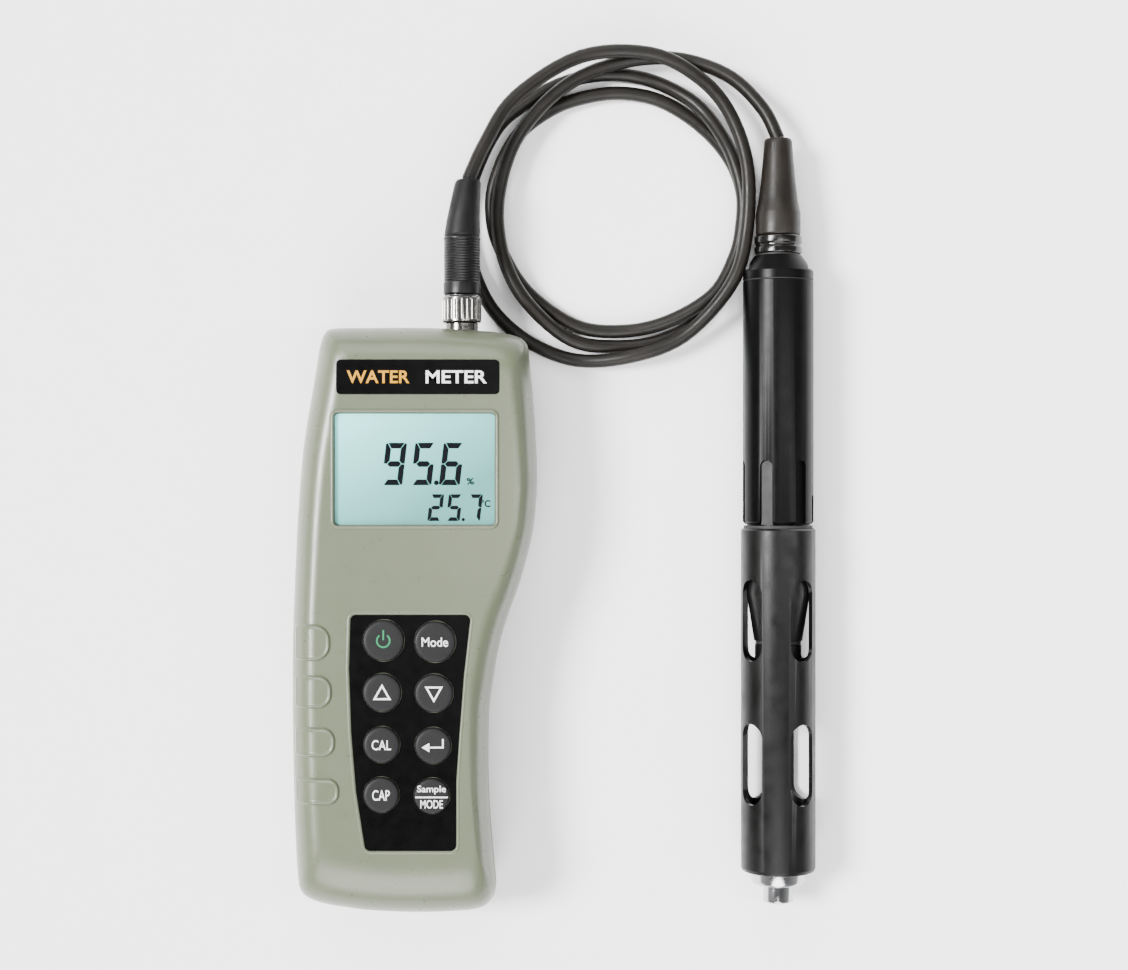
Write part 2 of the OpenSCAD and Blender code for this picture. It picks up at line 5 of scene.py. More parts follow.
import bmesh
import bpy
import numpy as np
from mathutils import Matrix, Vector


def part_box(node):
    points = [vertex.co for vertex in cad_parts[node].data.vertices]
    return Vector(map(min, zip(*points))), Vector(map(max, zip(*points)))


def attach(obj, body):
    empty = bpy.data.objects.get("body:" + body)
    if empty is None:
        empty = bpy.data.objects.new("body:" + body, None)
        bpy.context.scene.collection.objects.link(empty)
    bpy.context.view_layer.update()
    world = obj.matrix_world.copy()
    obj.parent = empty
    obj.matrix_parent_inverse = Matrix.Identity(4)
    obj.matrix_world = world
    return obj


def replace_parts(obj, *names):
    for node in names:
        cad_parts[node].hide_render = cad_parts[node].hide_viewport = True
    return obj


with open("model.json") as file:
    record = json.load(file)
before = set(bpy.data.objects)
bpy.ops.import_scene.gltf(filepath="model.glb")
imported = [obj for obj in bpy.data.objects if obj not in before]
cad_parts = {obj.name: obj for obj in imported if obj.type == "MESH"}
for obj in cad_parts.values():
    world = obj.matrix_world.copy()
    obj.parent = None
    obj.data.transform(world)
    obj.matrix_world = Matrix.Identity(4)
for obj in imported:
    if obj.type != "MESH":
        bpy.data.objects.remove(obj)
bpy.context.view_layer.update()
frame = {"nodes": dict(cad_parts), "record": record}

MM = 0.001
RECORD = frame["record"]
SLOT_OF = {s["node"]: s["material_slot"] for s in RECORD["subparts"]}
ROOT = "instrument"
BODY_OF = {node: body for body, nodes in RECORD["behaviour"]["bodies"].items() for node in nodes}


# ---- camera ----
CAMERA_HEIGHT = 0.650
VIEW_CENTRE = (0.0026, 0.01215)
camera_data = bpy.data.cameras.new("camera")
camera_data.lens = 63.1
camera_data.sensor_width = 36
camera = bpy.data.objects.new("camera", camera_data)
camera.location = (VIEW_CENTRE[0], VIEW_CENTRE[1], CAMERA_HEIGHT)
bpy.context.scene.collection.objects.link(camera)
bpy.context.scene.camera = camera


# ---- small curve tools ----
def catmull(points, steps, closed=False):
    """Points along a Catmull-Rom curve through the given ones."""
    p = np.array(points, float)
    n = len(p)
    out = []
    for i in range(n if closed else n - 1):
        if closed:
            a, b, c, d = (p[(i + k) % n] for k in (-1, 0, 1, 2))
        else:
            a, b, c, d = (p[min(max(i + k, 0), n - 1)] for k in (-1, 0, 1, 2))
        for t in np.arange(steps) / steps:
            out.append(0.5 * (2 * b + (c - a) * t + (2 * a - 5 * b + 4 * c - d) * t**2
                              + (3 * b - a - 3 * c + d) * t**3))
    if not closed:
        out.append(p[-1])
    return np.array(out)


# ---- cable route, in mm: about three and a half turns from the plug round to the probe ----
CABLE_D = 4.5
CABLE_ROUTE = [
    # leaves the plug, passes over the top, down the right side
    (-28, 109.7, 18), (-22.5, 122, 16.4), (-13, 137, 13.8), (8, 150.5, 11.6), (30.5, 151.5, 11.5),
    (46.5, 143.5, 11.5), (56.5, 131.5, 11.5), (62, 114, 11.5), (61.3, 92, 11.5), (56, 76, 11.8),
    (41.5, 60.5, 8),
    # outer strand along the bottom, up under the plug
    (24.5, 54, 6.4), (7, 53, 2.3), (-8, 58.5, 2.3), (-19.5, 68, 2.3), (-26, 79.5, 2.3), (-29.5, 94, 2.3),
    (-28, 110, 2.3),
    # second pass over the top and down the right
    (-20, 128, 2.3), (-11, 136.5, 2.3), (1.5, 143.5, 2.3), (14.5, 146.5, 2.3), (28, 145.5, 2.3),
    (40.5, 140, 4.2), (49, 132.5, 6.9), (56.5, 121, 6.9), (60.5, 108, 6.9), (60.5, 97, 6.9),
    (58, 86, 6.9), (51, 74, 6.9), (36.5, 65.5, 4.6),
    # inner strand along the bottom
    (21.5, 62.5, 2.3), (6, 64.5, 2.3), (-9.5, 75.5, 2.3), (-18, 89, 2.3),
    # third pass: up the left, over the top, down the right
    (-21, 100, 2.3), (-20, 111.5, 2.3), (-13.5, 125.5, 2.3), (-3.5, 134, 2.3), (7, 138.5, 2.3),
    (20.5, 140.5, 2.3), (34, 138, 2.3), (47, 130, 2.3), (56.5, 119.5, 2.3), (61, 108, 2.3),
    (61.5, 94, 2.3), (57, 81, 2.3), (47, 67, 2.3), (34, 59.5, 2.3),
    # middle strand along the bottom and up the left
    (20.5, 57.5, 2.3), (5, 59.5, 4.2), (-8.5, 70.5, 6.9), (-16, 83, 6.9),
    # last pass over the top and away to the probe
    (-19, 97, 6.9), (-18, 110, 6.9), (-13.5, 123.5, 6.9), (-5, 135, 6.9), (5.5, 143.5, 7),
    (17, 148.5, 6.9), (30, 151, 6.9), (43.5, 150, 7.1), (57, 144, 9.4), (67, 133.5, 11.3),
    (71.7, 123.8, 12)
]


# ---- materials ----
NOISE_SPAN = (0.3, 0.7)  # the part of a noise's range that most of its values fall in
WEAR_SPAN = (0.53, 0.62)  # how sharp a convex edge has to be before it is rubbed lighter
GRAIN_SHADE = 0.78
BUMP_DEPTH = 0.0003


def srgb(c):
    return tuple((x / 12.92 if x <= 0.04045 else ((x + 0.055) / 1.055) ** 2.4) for x in c[:3]) + (1.0,)


def look(name, colour, rough=0.5, metallic=0.0, vary=0.06, grain=1500.0, bump=0.06, stretch=(1, 1, 1),
         coat=0.0, coat_rough=0.1, mottle=60.0, rough_vary=0.08, dark=None, specular=0.5, transmission=0.0,
         wear=0.0, alpha=1.0):
    """A procedural finish in object space: mottled colour, cloudy roughness, a bump of fine grain."""
    m = bpy.data.materials.new(name)
    m.use_nodes = True
    nt = m.node_tree
    nodes, links = nt.nodes, nt.links
    b = nodes["Principled BSDF"]
    b.inputs["Metallic"].default_value = metallic
    b.inputs["Specular IOR Level"].default_value = specular
    b.inputs["Coat Weight"].default_value = coat
    b.inputs["Coat Roughness"].default_value = coat_rough
    b.inputs["Transmission Weight"].default_value = transmission
    b.inputs["Alpha"].default_value = alpha
    co = nodes.new("ShaderNodeTexCoord")
    mp = nodes.new("ShaderNodeMapping")
    mp.inputs["Scale"].default_value = stretch
    links.new(co.outputs["Object"], mp.inputs["Vector"])

    def noise(scale, detail, vector):
        n = nodes.new("ShaderNodeTexNoise")
        n.inputs["Scale"].default_value = scale
        n.inputs["Detail"].default_value = detail
        links.new(vector, n.inputs["Vector"])
        return n.outputs["Fac"]

    slow = noise(mottle, 4, co.outputs["Object"])
    fine = noise(grain, 3, mp.outputs["Vector"])
    cloud = noise(mottle * 5, 5, mp.outputs["Vector"])
    base = srgb(colour)
    low = srgb(dark) if dark else tuple(x * (1 - 2 * vary) for x in base[:3]) + (1,)
    high = tuple(min(1, x * (1 + vary)) for x in base[:3]) + (1,)
    ramp = nodes.new("ShaderNodeValToRGB")
    ramp.color_ramp.elements[0].position, ramp.color_ramp.elements[1].position = NOISE_SPAN
    ramp.color_ramp.elements[0].color, ramp.color_ramp.elements[1].color = low, high
    links.new(slow, ramp.inputs["Fac"])
    colour_out = ramp.outputs["Color"]
    speck = nodes.new("ShaderNodeMix")
    speck.data_type = "RGBA"
    speck.blend_type = "MULTIPLY"
    speck.inputs[0].default_value = min(1, vary * 4)
    links.new(colour_out, speck.inputs[6])
    shade = nodes.new("ShaderNodeMapRange")
    shade.inputs["From Min"].default_value, shade.inputs["From Max"].default_value = NOISE_SPAN
    shade.inputs["To Min"].default_value, shade.inputs["To Max"].default_value = GRAIN_SHADE, 1.0
    links.new(fine, shade.inputs["Value"])
    links.new(shade.outputs["Result"], speck.inputs[7])
    colour_out = speck.outputs[2]
    if wear:
        geo = nodes.new("ShaderNodeNewGeometry")
        edge = nodes.new("ShaderNodeMapRange")
        edge.inputs["From Min"].default_value, edge.inputs["From Max"].default_value = WEAR_SPAN
        links.new(geo.outputs["Pointiness"], edge.inputs["Value"])
        rub = nodes.new("ShaderNodeMath")
        rub.operation = "MULTIPLY"
        links.new(edge.outputs["Result"], rub.inputs[0])
        links.new(cloud, rub.inputs[1])
        lighter = nodes.new("ShaderNodeMix")
        lighter.data_type = "RGBA"
        links.new(rub.outputs[0], lighter.inputs[0])
        links.new(colour_out, lighter.inputs[6])
        lighter.inputs[7].default_value = tuple(min(1, x + wear) for x in base[:3]) + (1,)
        colour_out = lighter.outputs[2]
    links.new(colour_out, b.inputs["Base Color"])
    r = nodes.new("ShaderNodeMapRange")
    r.inputs["From Min"].default_value, r.inputs["From Max"].default_value = NOISE_SPAN
    r.inputs["To Min"].default_value = max(0.02, rough - rough_vary)
    r.inputs["To Max"].default_value = rough + rough_vary
    links.new(cloud, r.inputs["Value"])
    links.new(r.outputs["Result"], b.inputs["Roughness"])
    bp = nodes.new("ShaderNodeBump")
    bp.inputs["Strength"].default_value = bump
    bp.inputs["Distance"].default_value = BUMP_DEPTH
    links.new(fine, bp.inputs["Height"])
    links.new(bp.outputs["Normal"], b.inputs["Normal"])
    return m


CASE = (0.335, 0.36, 0.285)
LOOKS = {
    "case_front": look("case_front", CASE, rough=0.3, vary=0.015, grain=2600, bump=0.10,
                       rough_vary=0.03),
    "case_back": look("case_back", (0.32, 0.345, 0.272), rough=0.45, vary=0.02, grain=2200, bump=0.16,
                      rough_vary=0.04),
    "seal_rubber": look("seal_rubber", (0.1, 0.1, 0.1), rough=0.7, grain=1800, bump=0.12),
    "window_clear": look("window_clear", (0.03, 0.04, 0.04), rough=0.06, vary=0.0, rough_vary=0.02, bump=0.0,
                         alpha=0.05),
    "display_glass": look("display_glass", (0.56, 0.945, 0.93), rough=0.4, vary=0.015, bump=0.02, mottle=14),
    "white_plastic": look("white_plastic", (0.88, 0.88, 0.86), rough=0.5),
    "elastomer": look("elastomer", (0.8, 0.5, 0.58), rough=0.6, stretch=(6, 1, 1)),
    "plate_black": look("plate_black", (0.004, 0.004, 0.006), rough=0.3, vary=0.04, grain=1200, bump=0.02,
                        rough_vary=0.03, specular=0.1),
    "key_grey": look("key_grey", (0.07, 0.07, 0.074), specular=0.2, rough_vary=0.04, rough=0.5, vary=0.06,
                     grain=2400, bump=0.12, wear=0.04),
    "bright_metal": look("bright_metal", (0.6, 0.6, 0.61), rough=0.28, metallic=1, stretch=(8, 1, 1)),
    "board_green": look("board_green", (0.06, 0.32, 0.17), rough=0.35, coat=0.4),
    "chip_black": look("chip_black", (0.1, 0.1, 0.1), rough=0.55),
    "tray_black": look("tray_black", (0.08, 0.08, 0.08), rough=0.55),
    "cell_wrap": look("cell_wrap", (0.7, 0.46, 0.16), rough=0.3, coat=0.3),
    "silver_metal": look("silver_metal", (0.42, 0.41, 0.4), rough=0.2, metallic=1, vary=0.03, grain=500,
                         bump=0.05, stretch=(1, 14, 1), wear=0.08),
    "gold": look("gold", (0.85, 0.68, 0.32), rough=0.25, metallic=1),
    "plug_black": look("plug_black", (0.02, 0.02, 0.022), specular=0.25, rough=0.38, grain=2000, bump=0.1,
                       wear=0.04),
    "insulator": look("insulator", (0.48, 0.46, 0.4), rough=0.5),
    "boot_rubber": look("boot_rubber", (0.03, 0.03, 0.03), specular=0.2, rough=0.5, grain=1700, bump=0.12),
    "cable_jacket": look("cable_jacket", (0.085, 0.076, 0.063), specular=0.2, rough=0.4, vary=0.05,
                         grain=1500, bump=0.08, mottle=90, dark=(0.065, 0.057, 0.047)),
    "probe_boot_rubber": look("probe_boot_rubber", (0.1, 0.082, 0.066), specular=0.25, rough=0.42, grain=1600,
                              bump=0.1, mottle=40, dark=(0.06, 0.05, 0.04)),
    "collar_gloss": look("collar_gloss", (0.04, 0.034, 0.028), rough=0.2, grain=900, bump=0.03, specular=0.4),
    "body_gloss": look("body_gloss", (0.008, 0.008, 0.01), rough=0.34, vary=0.08, grain=1300, bump=0.04,
                       mottle=45, specular=0.1, rough_vary=0.03),
    "nose_black": look("nose_black", (0.03, 0.03, 0.03), specular=0.3, rough=0.38, grain=1500, bump=0.08),
    "optics": look("optics", (0.2, 0.3, 0.6), rough=0.15, coat=0.5),
    "optic_glass": look("optic_glass", (0.85, 0.9, 0.95), rough=0.05, vary=0, bump=0, transmission=1.0),
    "foil": look("foil", (0.35, 0.06, 0.1), rough=0.35),
    "guard_black": look("guard_black", (0.014, 0.014, 0.0135), specular=0.2, rough=0.38, vary=0.12,
                        grain=2000, bump=0.12, mottle=35, wear=0.05),
    "weight_metal": look("weight_metal", (0.76, 0.76, 0.77), rough=0.16, metallic=1, vary=0.03, grain=600,
                         bump=0.04, stretch=(1, 12, 1)),
}
INK = look("ink_dark", (0.012, 0.022, 0.04), specular=0.1, rough=0.4, vary=0.05)
INK_WHITE = look("print_white", (0.86, 0.87, 0.86), rough=0.45, vary=0.03)
INK_GREEN = look("print_green", (0.0, 0.45, 0.27), rough=0.4, vary=0.04)
INK_GOLD = look("print_gold", (0.74, 0.52, 0.0), rough=0.4, vary=0.05)
FLOOR = look("floor", (0.985, 0.985, 0.985), rough=0.6, vary=0.004, rough_vary=0.02, bump=0.0)


def paint_shade_across(mat, low, high, start, end, shade_stops):
    """Paints shade onto a finish: multiplies its colour by a ramp along a straight line from start to end, in
    mm.
    """
    nt = mat.node_tree
    nodes, links = nt.nodes, nt.links
    co = nodes.new("ShaderNodeTexCoord")
    split = nodes.new("ShaderNodeVectorMath")
    split.operation = "DOT_PRODUCT"
    a, b = np.array(start) * MM, np.array(end) * MM
    d = (b - a) / float(np.dot(b - a, b - a))
    links.new(co.outputs["Object"], split.inputs[0])
    split.inputs[1].default_value = (d[0], d[1], 0)
    place = nodes.new("ShaderNodeMath")
    place.operation = "SUBTRACT"
    links.new(split.outputs["Value"], place.inputs[0])
    place.inputs[1].default_value = float(np.dot(a, d))
    ramp = nodes.new("ShaderNodeValToRGB")
    links.new(place.outputs[0], ramp.inputs["Fac"])
    ramp.color_ramp.elements[0].color, ramp.color_ramp.elements[1].color = srgb(low), srgb(high)
    for at, c in shade_stops:
        ramp.color_ramp.elements.new(at).color = srgb(c)
    mix = nodes.new("ShaderNodeMix")
    mix.data_type = "RGBA"
    mix.blend_type = "MULTIPLY"
    mix.inputs[0].default_value = 1
    socket = nodes["Principled BSDF"].inputs["Base Color"]
    links.new(socket.links[0].from_socket, mix.inputs[6])
    links.new(ramp.outputs["Color"], mix.inputs[7])
    links.new(mix.outputs[2], socket)


# painted shade: the display face stays bright at its upper left and is darkened towards the bottom, standing
# in for the fall of light across it
paint_shade_across(LOOKS["display_glass"], (1, 1, 1), (0.58, 0.60, 0.59), (-66, 34), (-46, 0),
             [(0.3, (0.84, 0.87, 0.86)), (0.65, (0.70, 0.73, 0.72))])

for node, obj in frame["nodes"].items():
    obj.data.materials.clear()
    obj.data.materials.append(LOOKS[SLOT_OF[node]])


# ---- piece tools ----
def piece(name, mesh, slot=None, body=ROOT, mat=None, smooth=True, angle=35):
    obj = bpy.data.objects.new(name, mesh)
    bpy.context.scene.collection.objects.link(obj)
    mesh.materials.append(mat or LOOKS[slot])
    if smooth:
        mesh.shade_smooth()
        mesh.set_sharp_from_angle(angle=math.radians(angle))
    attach(obj, body)
    return obj


def from_lists(name, verts, faces, **kw):
    mesh = bpy.data.meshes.new(name)
    mesh.from_pydata([[c * MM for c in v] for v in verts], [], faces)
    mesh.validate()
    return piece(name, mesh, **kw)


def eased(node, width=0.15, segments=3, angle=28):
    """A copy of a CAD node with its corners rounded the way moulding or turning leaves them."""
    src = frame["nodes"][node]
    bm = bmesh.new()
    bm.from_mesh(src.data)
    bmesh.ops.remove_doubles(bm, verts=bm.verts, dist=2e-6)
    bmesh.ops.dissolve_limit(bm, angle_limit=math.radians(0.8), verts=bm.verts, edges=bm.edges)
    mesh = bpy.data.meshes.new(node + "_eased")
    bm.to_mesh(mesh)
    bm.free()
    mesh.materials.clear()
    obj = piece(node + "_eased", mesh, SLOT_OF[node], BODY_OF[node], angle=angle)
    bevel = obj.modifiers.new("ease", "BEVEL")
    bevel.width = width * MM
    bevel.segments = segments
    bevel.limit_method = "ANGLE"
    bevel.angle_limit = math.radians(angle)
    bevel.harden_normals = True
    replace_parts(obj, node)
    return obj


# ---- cable ----
def make_cable():
    line = catmull(CABLE_ROUTE, 6) * MM
    curve = bpy.data.curves.new("cable_run", "CURVE")
    curve.dimensions = "3D"
    curve.bevel_depth = CABLE_D / 2 * MM
    curve.bevel_resolution = 6
    curve.use_fill_caps = True
    spline = curve.splines.new("POLY")
    spline.points.add(len(line) - 1)
    for point, co in zip(spline.points, line):
        point.co = (*co, 1)
    spline.use_smooth = True
    curve.materials.append(LOOKS["cable_jacket"])
    obj = bpy.data.objects.new("cable_run", curve)
    bpy.context.scene.collection.objects.link(obj)
    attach(obj, ROOT)
    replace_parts(obj, "cable")


make_cable()


# ---- case shape, in mm: the same outline and edge profile as the CAD case ----
TOP_EDGE = [(-70.6, 62), (-58.8, 62.2), (-45.4, 62.3), (-36.4, 62.1), (-23, 61.3), (-18.5, 60.8), (-14, 60)]
RIGHT_EDGE = [(-10.6, 58.6), (-8.9, 56), (-8.3, 50.5), (-7, 36), (-6, 17), (-6.3, 7.4), (-7.3, -2.2),
              (-9.5, -11.8), (-12.4, -21.4), (-15.9, -31), (-18.5, -40.6), (-20.1, -50.2), (-21.4, -59.8),
              (-21.7, -74.2), (-21.4, -88.6), (-20.4, -102.9), (-19.5, -112.5), (-19.2, -116.6)]
BOTTOM_EDGE = [(-20.4, -119.8), (-23.5, -122.2), (-29.4, -123.2), (-43.4, -123.75), (-58.8, -123.2),
               (-66.8, -122.2), (-74.1, -120.9), (-79, -119)]
LEFT_EDGE = [(-81.2, -116.6), (-82, -112.5), (-82.7, -101.3), (-83.3, -83.8), (-83.7, -60), (-83.6, -35.8),
             (-82.7, -11.8), (-81.8, 5.8), (-80.5, 21.7), (-79.2, 31.3), (-77.6, 40.9), (-76, 50.5),
             (-74.9, 56.9), (-73.4, 60.6)]
RIM = catmull(TOP_EDGE + RIGHT_EDGE + BOTTOM_EDGE + LEFT_EDGE, 8, closed=True)
RIM[:, 0] = np.maximum(RIM[:, 0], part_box("front_housing")[0].x / MM)
CASE_BOTTOM = -123.75
CASE_LENGTH = 186.05
FRONT_Z = 35.0
PARTING_Z = 18.0
BACK_TOP = 17.5
RIDGE = {"left": 5.5, "right": 4.1, "top": 6.5, "bottom": 10.7}
FRONT_PROFILE = [(0, 18), (0.008, 20), (0.03, 22), (0.075, 24.1), (0.15, 26), (0.255, 28), (0.4, 29.8),
                 (0.56, 31.3), (0.75, 32.6), (0.9, 33.35), (1.05, 33.95), (1.2, 34.4), (1.35, 34.72),
                 (1.55, 34.94), (1.7, 35)]
BACK_PROFILE = [(1.1, 0), (0.98, 0.08), (0.85, 0.3), (0.67, 0.7), (0.5, 1.3), (0.35, 2.25), (0.22, 3.6),
                (0.14, 5.1), (0.08, 7), (0.02, 12), (0, 17.5)]


def edge_lookup(edge):
    pts = sorted((y, x) for x, y in edge)
    return lambda y: np.interp(y, [p[0] for p in pts], [p[1] for p in pts])


left_at, right_at = edge_lookup(LEFT_EDGE), edge_lookup(RIGHT_EDGE)


def ring(t, extra=0.0):
    """The outline drawn in by t times the ridge distance of each side, plus extra millimetres."""
    x, y = RIM[:, 0], RIM[:, 1]
    lo, hi = left_at(y), right_at(y)
    u = np.clip((x - lo) / (hi - lo), 0, 1)
    v = np.clip((y - CASE_BOTTOM) / CASE_LENGTH, 0, 1)
    return np.stack([x + (RIDGE["left"] * t + extra) * (1 - u) - (RIDGE["right"] * t + extra) * u,
                     y + (RIDGE["bottom"] * t + extra) * (1 - v) - (RIDGE["top"] * t + extra) * v], 1)


def rounded_rect(cx, cy, w, h, r, n=10):
    out = []
    for kx, ky, a0 in ((1, 1, 0), (-1, 1, 90), (-1, -1, 180), (1, -1, 270)):
        for i in range(n + 1):
            a = math.radians(a0 + 90 * i / n)
            out.append((cx + kx * (w / 2 - r) + r * math.cos(a), cy + ky * (h / 2 - r) + r * math.sin(a)))
    return np.array(out)


def rounded_poly(points, r, n=8):
    """Counter-clockwise polygon grown by r with round corners; nearly straight corners stay one point."""
    out = []
    k = len(points)
    for i in range(k):
        a, b, c = (np.array(points[(i + j) % k], float) for j in (-1, 0, 1))
        d0, d1 = (b - a) / np.linalg.norm(b - a), (c - b) / np.linalg.norm(c - b)
        n0, n1 = np.array([d0[1], -d0[0]]), np.array([d1[1], -d1[0]])
        turn = math.atan2(d0[0] * d1[1] - d0[1] * d1[0], float(np.dot(d0, d1)))
        if turn < math.radians(20):
            mid = (n0 + n1) / np.linalg.norm(n0 + n1)
            out.append(b + mid * r)
            continue
        a0 = math.atan2(n0[1], n0[0])
        for s in range(n + 1):
            w = a0 + turn * s / n
            out.append(b + r * np.array([math.cos(w), math.sin(w)]))
    return np.array(out)


PANEL_CORNERS = [(-62, -30.1), (-62.4, -45), (-61.7, -65), (-60.2, -83), (-57.6, -99.8), (-32.8, -99.8),
                 (-32.8, -80), (-31.8, -65), (-30.4, -46.8), (-28.5, -30.1)]
PANEL_R = 1.8


class Shell:
    """Collects rings and joins them; every ring in a run has the same number of points."""

    def __init__(self):
        self.bm = bmesh.new()

    def loop(self, xy, z):
        return [self.bm.verts.new((float(x) * MM, float(y) * MM, float(z) * MM)) for x, y in xy]

    def join(self, a, b):
        n = len(a)
        for i in range(n):
            j = (i + 1) % n
            self.bm.faces.new((a[i], a[j], b[j], b[i]))

    def run(self, first, rings):
        for xy, z in rings:
            nxt = self.loop(xy, z)
            self.join(first, nxt)
            first = nxt
        return first

    def mesh(self, name):
        bmesh.ops.recalc_face_normals(self.bm, faces=self.bm.faces)
        mesh = bpy.data.meshes.new(name)
        self.bm.to_mesh(mesh)
        self.bm.free()
        return mesh


LCD = (-43.9, 17.1)
PLATE = (-42.9, 45.8)


def outline_loop(name, make, steps):
    """A bead that follows an outline: make(grow) gives the outline, steps are (grow, height) pairs."""
    s = Shell()
    first = s.loop(make(steps[0][0]), steps[0][1])
    s.run(first, [(make(g), h) for g, h in steps[1:]])
    piece(name, s.mesh(name), "case_front", angle=60)


def prism(name, xy, z0, z1):
    s = Shell()
    low, high = s.loop(xy, z0), s.loop(xy, z1)
    s.join(low, high)
    s.bm.faces.new(low[::-1])
    s.bm.faces.new(high)
    mesh = s.mesh(name)
    obj = bpy.data.objects.new(name, mesh)
    bpy.context.scene.collection.objects.link(obj)
    return obj


def cut(mesh, cutters):
    """The mesh with every cutter taken out of it."""
    work = bpy.data.objects.new("cut_work", mesh)
    bpy.context.scene.collection.objects.link(work)
    for c in cutters:
        m = work.modifiers.new("cut", "BOOLEAN")
        m.object, m.operation, m.solver = c, "DIFFERENCE", "EXACT"
    view = bpy.context.evaluated_depsgraph_get()
    view.update()
    out = bpy.data.meshes.new_from_object(work.evaluated_get(view))
    for o in [work, *cutters]:
        bpy.data.objects.remove(o)
    return out


def plate_outline(grow):
    return rounded_rect(*PLATE, 50.7 + 2 * grow, 10.7 + 2 * grow, 1.35 + grow)


def window_outline(grow):
    return rounded_rect(*LCD, 50 + 2 * grow, 34.8 + 2 * grow, max(0.3, 1.2 + grow))


def make_front():
    s = Shell()
    bottom = s.loop(ring(0, 0.35), PARTING_Z)
    last = s.run(bottom, [(ring(0, 0), PARTING_Z + 0.35)]
                 + [(ring(t), z) for t, z in catmull(FRONT_PROFILE[1:], 2)])
    s.bm.faces.new(last)
    s.bm.faces.new(bottom[::-1])
    cutters = [prism("c1", plate_outline(0.15), FRONT_Z - 0.8, FRONT_Z + 2),
               prism("c2", window_outline(0.15), FRONT_Z - 1.4, FRONT_Z + 2),
               prism("c3", window_outline(-1.5), FRONT_Z - 8, FRONT_Z + 2),
               prism("c4", rounded_poly(PANEL_CORNERS, PANEL_R + 0.15), FRONT_Z - 0.8, FRONT_Z + 2)]
    mesh = cut(s.mesh("case_front_shell"), cutters)
    mesh.materials.clear()
    obj = piece("case_front_shell", mesh, "case_front", angle=40)
    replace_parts(obj, "front_housing")
    outline_loop("window_lip", window_outline,
                 [(1.5, FRONT_Z - 0.1), (1.32, FRONT_Z + 0.06), (1.1, FRONT_Z + 0.3), (0.9, FRONT_Z + 0.45),
                  (0.62, FRONT_Z + 0.5), (0.36, FRONT_Z + 0.44), (0.2, FRONT_Z + 0.2), (0.16, FRONT_Z - 0.6)])
    outline_loop("keypad_rim", lambda g: rounded_poly(PANEL_CORNERS, PANEL_R + g),
                 [(1.25, FRONT_Z - 0.1), (1.05, FRONT_Z + 0.06), (0.8, FRONT_Z + 0.17), (0.5, FRONT_Z + 0.17),
                  (0.28, FRONT_Z + 0.05), (0.18, FRONT_Z - 0.2), (0.16, FRONT_Z - 0.6)])


SCREWS = [(-68, 52.5), (-15, 52), (-71, -113), (-28.5, -113)]
COVER = (-52, -81, 47.2, 56.8)
BAY = (-52, -81, 43.2, 45.6)


def circle(cx, cy, r, n=36):
    return [(cx + r * math.cos(a), cy + r * math.sin(a)) for a in (2 * math.pi * k / n for k in range(n))]


def make_back():
    s = Shell()
    prof = catmull(BACK_PROFILE, 2)
    flat = s.loop(ring(prof[0][0]), 0)
    last = s.run(flat, [(ring(t), z) for t, z in prof[1:-1]]
                 + [(ring(0, 0), BACK_TOP - 0.35), (ring(0, 0.35), BACK_TOP)])
    s.bm.faces.new(flat[::-1])
    s.bm.faces.new(last)
    cutters = [prism("c", circle(x, y, 2.9), -1, 4) for x, y in SCREWS]
    cutters += [prism("c", rounded_rect(*COVER, 4), -1, 2.4), prism("c", rounded_rect(*BAY, 1), -1, 16.5)]
    mesh = cut(s.mesh("case_back_shell"), cutters)
    mesh.materials.clear()
    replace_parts(piece("case_back_shell", mesh, "case_back", angle=40), "back_housing")
    for node in ("battery_cover", "battery_cover_screws"):
        eased(node, 0.2)


# ---- finger pads: a shallow D with a bead round it, lying on the curved flank ----
PADS = [(-42.6, -31.3, -70.1), (-57.4, -47.1, -69.6), (-72.5, -63.3, -68.6), (-87.4, -79.1, -67.3)]
PAD_LEFT = -81.9
PAD_RISE = 0.85
PAD_STEP = 0.22
PAD_SKIRT = 0.75
PAD_CORNER = 0.8


def flank_height(x, y):
    """Height of the case's left flank over a point."""
    t = np.zeros_like(x)
    prof = catmull(FRONT_PROFILE, 4)
    for _ in range(6):
        v = np.clip((y - t * 4.5 - CASE_BOTTOM) / CASE_LENGTH, 0, 1)
        slide = RIDGE["bottom"] * (1 - v) - RIDGE["top"] * v
        t = np.clip((x - left_at(y - t * slide)) / RIDGE["left"], 0, 1.7)
    return np.interp(t, prof[:, 0], prof[:, 1])


